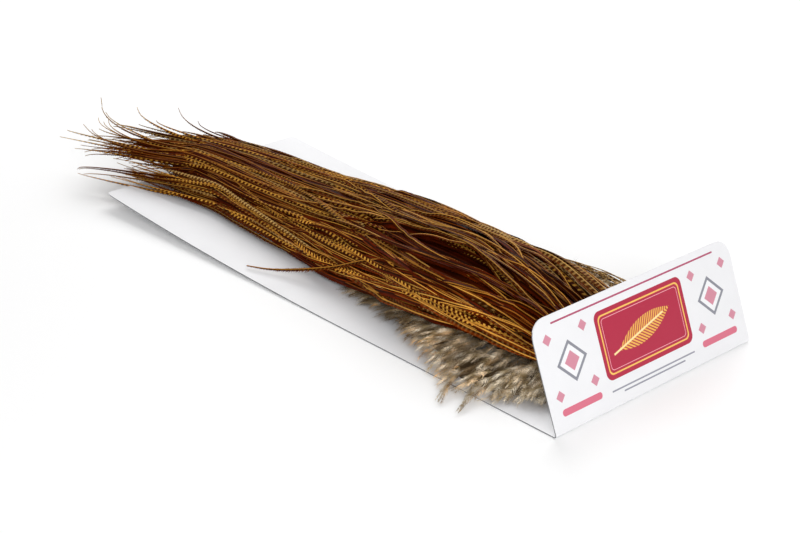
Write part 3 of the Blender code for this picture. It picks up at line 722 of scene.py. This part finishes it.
def hackle_to_tip(pile, lane, level, end, carry, kept, width, kind, tone, column):
    """A hackle that leaves the sheaf and curves freely to its end. carry is the share of the way that it
    lies low before it turns up, and kept the share of the curve that a shorter one fills."""
    start = rng.uniform(150, 225)
    leave = min(312.0 - 42.0 * ease(-lane, 0.3, 0.9), end[1] - 26)
    stops = start + (leave - start) * np.linspace(0, 1, 5)
    lanes = np.clip(lane + rng.normal(0, 0.12) * np.linspace(0, 1, 5), -OUTER_LANE, OUTER_LANE)
    on = on_sheaf(lanes, stops) + off_sheaf(lanes, stops) * level
    turn = on[-1] + (end - on[-1]) * np.array((carry, carry, 0.05))
    free = [(1 - s) ** 2 * on[-1] + 2 * s * (1 - s) * turn + s * s * end for s in (0.25, 0.5, 0.75, 1)]
    whole = smooth_route([*on, *free], ROUTE_POINTS)
    route = whole[:max(int(ROUTE_POINTS * kept), FEWEST_POINTS)]
    n = len(route)
    t = np.linspace(0, 1, n)
    lift = off_sheaf(np.full(n, lane), np.minimum(route[:, 1], 345)) + (0.0, 0.0, 1.0)
    half = width * tapered(t, 0.4, 0.2, 0.1, 0.45)
    roll = rng.uniform(-0.6, 0.6) + rng.uniform(-0.5, 0.5) * t
    barred, golden, grey = kind
    half = half * min(1.0, (2.6 - 1.4 * barred) / width)
    pale_ends_painted_glow = ease(route[:, 1], 346, 378)  # the free ends are thin and paler: partly their own grey tan, partly painted light for light that shines through the thin barbs
    dye = dyed(n, barred, golden, np.maximum(grey, 0.95 * pale_ends_painted_glow), tone * (1 + 0.5 * pale_ends_painted_glow))
    grow_feather(pile, route, unit(lift), half, 0.62 - 0.5 * ease(t, 0.6, 0.97),
                 np.full(n, rng.uniform(0.35, 0.9)), roll, 0.27 - 0.14 * t, dye, column)


FAR_HACKLES = 96
TIPS_IN_WISP = 6
TIP_COUNT = TIPS_IN_WISP * len(TIPS)
far_ends = Pile()
for i in range(FAR_HACKLES):
    lane = rng.uniform(-0.95, 0.95)
    end_lane = max(lane + rng.normal(0, 0.4), -0.85)  # hackles cross each other on their way
    end = np.array([np.interp(end_lane, FAR_ENDS[:, 0], FAR_ENDS[:, k]) for k in (1, 2, 3)])
    end = end + rng.normal(0, 1, 3) * (3.5, 7.0, 2.5)
    end[1] = min(end[1], FARTHEST_END)
    hackle_to_tip(far_ends, lane, rng.uniform(-2.2, -0.4), end, 0.5, rng.uniform(0.86, 1.0),
                  rng.uniform(0.8, 2.3), pick_kind(lane, 300), rng.uniform(0.6, 1.2),
                  column_of(i, FAR_HACKLES))
far_ends.made("hackle_far_ends", hackle, "saddle_hackles")

tips = Pile()
for wisp, (x, y, z, home) in enumerate(TIPS):
    carry = rng.uniform(0.9, 1.1)
    for member in range(TIPS_IN_WISP if x < -28 else 2):
        lead = member == 0
        lane = home + (0 if lead else rng.uniform(-0.1, 0.1))
        end = np.array((x, y, z if lead else 0.7 * z + 2), float)
        end = end + (0 if lead else rng.normal(0, 1, 3) * (3.0, 2.0, 1.8))
        i = wisp * TIPS_IN_WISP + member
        hackle_to_tip(tips, lane, rng.uniform(-2.0, -0.4), end, carry,
                      1.0 if lead else rng.uniform(0.7, 1.0), rng.uniform(0.7, 1.3), pick_kind(home, 300),
                      rng.uniform(0.6, 1.05), column_of(i, TIP_COUNT))
tips.made("hackle_tips", hackle, "saddle_hackles")

# Loose hackles that spring out of the right flank near the flap and fall back to it. They are thin, greyer
# than the others and lie open, each on its own curve.
FLANK_STRANDS = 14
flank = Pile()
for i in range(FLANK_STRANDS):
    bulge, rise, shift = rng.uniform(-3, 5), rng.uniform(-3, 3), rng.uniform(-14, 14)
    guides = ((30, 26 + 0.4 * shift, 11), (41 + 0.4 * bulge, 48 + shift, 12 + rise),
              (50 + bulge, 74 + shift, 10 + rise), (53 + bulge, 100 + shift, 7 + 0.6 * rise),
              (48 + 0.3 * bulge, 128 + shift, 4))
    route = smooth_route(guides, 40)[:int(rng.uniform(26, 40))]
    n = len(route)
    t = np.linspace(0, 1, n)
    grow_feather(flank, route, (0.3, 0.0, 1.0),
                 rng.uniform(0.35, 0.7) * tapered(t, 1, 1, 0.2, 0.4),
                 np.full(n, 0.5), np.full(n, 0.6), 0.4 * np.sin(3 * t + i), 0.19 - 0.09 * t,
                 dyed(n, 0.1, 0.6, rng.uniform(0.5, 1.0), rng.uniform(0.8, 1.1)),
                 column_of(i, FLANK_STRANDS))
flank.made("flank_hackles", hackle, "saddle_hackles")

# The stray hackle: one brown feather with its barbs half open.
stray = Pile()
route = smooth_route(STRAY_ROUTE, 44)
t = np.linspace(0, 1, len(route))
grow_feather(stray, route, (0.0, 0.0, 1.0),
             1.5 * tapered(t, 1, 1, 0.25, 0.5), np.full(len(t), 0.5), np.full(len(t), 0.5),
             0.4 * np.sin(3 * t), 0.32 - 0.14 * t, dyed(len(t), 0.1, 0.62, 0.0, 1.1), (0.02, 0.98))
stray.made("stray_hackle", hackle, "saddle_hackles")


# The flank fluff is the patch's soft webby side feathers: short, downy, barred in grey, tan and near black.
# They grow from the skin's edges and lie splayed over the card, outwards and back.
FLUFF_REACH = np.array((  # mm from the fold, and how far out from the card's middle line the down reaches
    (6, 45), (20, 52), (35, 62), (45, 68), (62, 69), (85, 61), (108, 51), (130, 45), (160, 40),
), float)
DOWN_COUNT = 320
TUFTS = (  # root and end in mm of the two tufts that lie past the card's left edge
    ((-60, 61, 5.0), (-80, 52, 1.5)), ((-58, 47, 5.0), (-80.5, 41, 1.2)),
)
TUFT_FEATHERS, OFF_CARD = 5, 8.0  # feathers in each, and how many mm past the edge its down ends
BLOTCH = 4.4  # mm from a pale bar's middle to a dark one's
DOWN_BARB_STEP, DOWN_BENDS = 0.52, 3  # mm between barbs, and the straight stretches of each
POINT_PITCH = 2.4  # mm along the shaft that one point of clinging barbs takes
MOUND_DEPTH, MOUND_GAP = 4.6, 0.2  # mm; how far the matted down lies below the fluff's top, and off the card

# Down: loose barbs without hooks, so they part, curl and scatter light, and no edge is sharp. It is dull.
down, tree, output = new_finish("rooster_down")
dye = add(tree, "VertexColor", layer_name="dye")
parts = add(tree, "SeparateColor", {0: dye.outputs["Color"]})
tan, dark, phase = (parts.outputs[i] for i in range(3))
place = add(tree, "SeparateXYZ", {0: add(tree, "UVMap", uv_map="barb_map").outputs[0]})
wave = add(tree, "Math", {0: place.outputs["Y"], 1: 1 / BLOTCH, 2: phase}, operation="MULTIPLY_ADD")
wave = bands(tree, wave, 0.12, 0.85)
pale = add(tree, "Mix", {"Factor": tan, "A": linear("#ece1cb"), "B": linear("#e0b273")}, data_type="RGBA")
smoky = add(tree, "Mix", {"Factor": tan, "A": linear("#a08c68"), "B": linear("#6a481f")}, data_type="RGBA")
bars = add(tree, "Mix", {"Factor": wave, "A": smoky, "B": pale}, data_type="RGBA")
bars = add(tree, "Mix", {"Factor": dark, "A": bars, "B": linear("#46321a")}, data_type="RGBA")
coat = add(tree, "HueSaturation", {"Color": bars, "Value": dye.outputs["Alpha"]})
down_shader = add(tree, "BsdfPrincipled",
                  {"Base Color": coat, "Roughness": 0.75, "IOR": 1.5, "Specular IOR Level": 0.12,
                   "Sheen Weight": 0.2, "Sheen Tint": linear("#ecd6b0"), "Sheen Roughness": 0.5})
tree.links.new(down_shader.outputs[0], output.inputs["Surface"])


def fluff_top(side, y):
    """Guide points of the fluff's upper surface at one flank, inner to outer, as x and height in mm."""
    left, right, _, _, edge, _ = station(np.array([y]))[:, 0]
    shoulder = abs(left if side < 0 else right)
    outer = max(np.interp(y, *FLUFF_REACH.T), shoulder + 3)
    floor = card_top(y) + LIE_GAP
    high = max(card_top(y) + edge - 3.2 + 2.2 * (1 - ease(y, 30, 50)), floor + 1.0)
    if side > 0:
        high = high + 3.0 * ease(y, 40, 60) * (1 - ease(y, 90, 115))
    return np.array(((shoulder - 6, high - 1.0), (shoulder - 2, high),
                     (shoulder + 0.45 * (outer - shoulder), max(0.7 * high, floor + 0.9)),
                     (outer, floor + 2.4)))


def grow_down(pile, route, reach, dye, column):
    """One webby feather: long loose barbs, each a narrow ribbon that bends and droops, on both sides of a
    route. Its shaft is too thin to show among them and is left out."""
    length, ahead, side, up = frame_along(route, (0.0, 0.0, 1.0))
    count = int(length[-1] / DOWN_BARB_STEP)
    for sign in (-1, 1):
        at = (np.arange(count) + rng.uniform(0.1, 0.9, count)) * DOWN_BARB_STEP
        at = np.minimum(at, length[-1] - 0.1)
        base, way, over = (read_along(at, length, values) for values in (route, ahead, up))
        out = sign * read_along(at, length, side)
        far = read_along(at, length, reach) * rng.uniform(0.6, 1.25, count)
        cling = 0.5 * ((np.floor(at / POINT_PITCH) + 0.5) * POINT_PITCH - at)  # their ends cling in points
        sweep = rng.uniform(1.5, 2.8, count)
        rise = rng.uniform(-0.2, 0.45, count)
        points, u, v = [], [], []
        for k in range(DOWN_BENDS + 1):
            s = k / DOWN_BENDS
            spread = out * (far * s * (1 - 0.25 * s))[:, None] + way * (far * sweep * s * s)[:, None]
            spread = spread + over * (far * (rise * s - 0.25 * s * s))[:, None] + way * (cling * s)[:, None]
            wide = 0.2 * (1 - 0.8 * s)
            points += [base + spread - way * wide, base + spread + way * wide]
            u += [np.full(count, sign * s)] * 2
            v += [at + 0.8 * far * sweep * s * s] * 2
        points = np.stack(points, axis=1)
        m = 2 * (DOWN_BENDS + 1)
        faces = [(m * i + 2 * k, m * i + 2 * k + 1, m * i + 2 * k + 3, m * i + 2 * k + 2)
                 for i in range(count) for k in range(DOWN_BENDS)]
        u, v = np.stack(u, axis=1), np.stack(v, axis=1)
        strip = (at[:, None] + np.tile((-0.4, 0.4), DOWN_BENDS + 1) * DOWN_BARB_STEP) / length[-1]
        bake = in_column(column, 0.5 + 0.48 * u, np.clip(strip, 0, 1))
        pile.put(points.reshape(-1, 3), faces, np.repeat(read_along(at, length, dye), m, axis=0),
                 np.stack([u, v], axis=2).reshape(-1, 2), bake.reshape(-1, 2))


def put_mound(pile, side):
    """The matted down beneath the open feathers, as one low closed form that hides the card, dyed dark as
    painted shade.
    """
    mound_y = np.arange(8.0, 122.0, 3.0)
    rings = []
    for y in mound_y:
        top = fluff_top(side, y)
        close = 1 - ease(y, 70, 118)
        outer = top[0, 0] + 3 + (top[3, 0] - 15 - top[0, 0]) * (0.3 + 0.7 * close)
        across = np.linspace(top[0, 0], outer, 9)
        low = card_top(y) + MOUND_GAP
        high = np.interp(across, top[:, 0], top[:, 1]) - MOUND_DEPTH
        high = high - 1.2 * np.abs(np.sin(0.9 * across + 0.31 * y))
        high[-1] = low + 0.2
        across = np.concatenate([across, [outer, top[0, 0]]])
        heights = np.concatenate([np.maximum(high, low + 0.2), [low, low]])
        rings.append(np.stack([side * across, np.full(len(across), y), heights], axis=1))
    faces = loft_faces(len(rings), len(rings[0]))
    if side < 0:
        faces = [face[::-1] for face in faces]
    points = np.concatenate(rings)
    bake = np.stack([0.005 + 0.01 * np.abs(points[:, 0]) / 70, 0.01 + 0.98 * points[:, 1] / 125], axis=1)
    # a near-black dye at half value: painted shade for the down under the open feathers
    pile.put(points, faces, dyed(len(points), 0.9, 0.85, 0.0, 0.5), points[:, :2], bake)


for name, side, seed in (("flank_fluff_left", -1, 5), ("flank_fluff_right", 1, 9)):
    rng = np.random.default_rng(seed)
    pile = Pile()
    put_mound(pile, side)
    for i in range(DOWN_COUNT):
        y = 6 + 146 * rng.random() ** 1.25
        top = fluff_top(side, y)
        share = rng.random() ** 1.25
        x = np.interp(share, (0, 0.2, 0.6, 1), top[:, 0] - 8)
        z = np.interp(share, (0, 0.2, 0.6, 1), top[:, 1]) - rng.uniform(0, 1.5)
        heading = math.radians(np.interp(y, (6, 40, 80, 130), (-22, 2, 28, 48)) + rng.uniform(-20, 20))
        size = rng.uniform(12, 25)
        outer = np.interp(y + size * math.sin(heading), *FLUFF_REACH.T) + rng.uniform(-4, 2)
        size = min(size, max(5.0, (outer - x) / max(math.cos(heading), 0.2)))
        floor = card_top(y) + LIE_GAP
        end = np.array((side * (x + math.cos(heading) * size), y + math.sin(heading) * size,
                        max(floor + 0.8, z - size * rng.uniform(0.05, 0.35))))
        start = np.array((side * x, y, z))
        if side < 0 and i < TUFT_FEATHERS * len(TUFTS):
            start, end = (np.array(place) for place in TUFTS[i % len(TUFTS)])
            start = start + rng.uniform(-1, 1, 3) * (4.0, 3.0, 1.0)
            end = end + rng.normal(0, 1, 3) * (2.4, 1.1, 0.3)
        bend = (start + end) / 2 + np.array((0, 0, rng.uniform(0.3, 2.0)))
        route = smooth_route((start, bend, end), 10)
        t = np.linspace(0, 1, 10)
        reach = rng.uniform(2.2, 4.2) * tapered(t, 0.5, 0.3, 0.2, 0.7)
        tan = rng.random() ** 1.2 * ease(y, 15, 60)
        dark = 0.85 * (rng.random() < 0.18 + 0.6 * ease(y, 85, 125) + 0.25 * (share < 0.3))
        if end[0] < -CARD_HALF_WIDTH - OFF_CARD:
            reach, dark = 0.6 * reach, 0.5
        phase = 0.6 * (0.7 * x + y) / BLOTCH + 0.8 * rng.random()
        painted_shading = 0.85 + 0.15 * ease(y, 12, 45)  # painted shade: the down is darker close to the flap, which shades it
        dye = dyed(10, tan, dark, phase, painted_shading * rng.uniform(0.9, 1.5))
        column = [0.02 + 0.98 * edge for edge in column_of(i, DOWN_COUNT)]  # the mound takes what is left
        grow_down(pile, route, reach, dye, column)
    pile.made(name + "_down", down, name)


# The floor is a white studio sweep, lit by a wide soft box overhead and a pale surround.
HALF_FLOOR = 6.0
floor_mesh = bpy.data.meshes.new("studio_floor")
floor_mesh.from_pydata([(-HALF_FLOOR, -HALF_FLOOR, 0), (HALF_FLOOR, -HALF_FLOOR, 0),
                        (HALF_FLOOR, HALF_FLOOR, 0), (-HALF_FLOOR, HALF_FLOOR, 0)], [], [(0, 1, 2, 3)])
floor = bpy.data.objects.new("studio_floor", floor_mesh)
bpy.context.scene.collection.objects.link(floor)
floor.location.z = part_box("display_card")[0].z - 0.0001
sweep, tree, output = new_finish("matt_white_sweep")
sweep_shader = add(tree, "BsdfPrincipled", {"Base Color": linear("#fbfbfb"), "Roughness": 0.9})
tree.links.new(sweep_shader.outputs[0], output.inputs["Surface"])
floor_mesh.materials.append(sweep)

world = bpy.data.worlds.new("pale_surround")
world.use_nodes = True
world.node_tree.nodes["Background"].inputs["Color"].default_value = (1, 1, 1, 1)
world.node_tree.nodes["Background"].inputs["Strength"].default_value = 0.46
bpy.context.scene.world = world


def aimed(name, data, place, aim):
    """A lamp or camera at a place, turned to what it is aimed at."""
    thing = bpy.data.objects.new(name, data)
    bpy.context.scene.collection.objects.link(thing)
    thing.location = place
    thing.rotation_euler = (Vector(aim) - Vector(place)).to_track_quat("-Z", "Y").to_euler()
    return thing


for name, place, aim, size, watts in (
    ("overhead_box", (0.75, 0.6, 0.9), (0, 0.05, 0), 1.1, 11.5),
    ("front_box", (-0.6, -0.9, 0.5), (0, 0.05, 0.02), 0.8, 10),
):
    lamp = bpy.data.lights.new(name, "AREA")
    lamp.shape, lamp.size, lamp.energy = "SQUARE", size, watts
    aimed(name, lamp, place, aim)

# The camera stands near the flap's left corner, a little above the card, as in the photograph.
CAMERA_AIM = Vector((0.0015, 0.100, 0.0))
CAMERA_SIDE, CAMERA_UP, CAMERA_FAR = math.radians(-42.3), math.radians(24.9), 0.838
back = Vector((math.sin(CAMERA_SIDE) * math.cos(CAMERA_UP), -math.cos(CAMERA_SIDE) * math.cos(CAMERA_UP),
               math.sin(CAMERA_UP)))
camera = bpy.data.cameras.new("camera")
camera.lens, camera.sensor_width = 76.5, 36
bpy.context.scene.camera = aimed("camera", camera, CAMERA_AIM + back * CAMERA_FAR, CAMERA_AIM)
bpy.context.scene.view_settings.view_transform = "Standard"
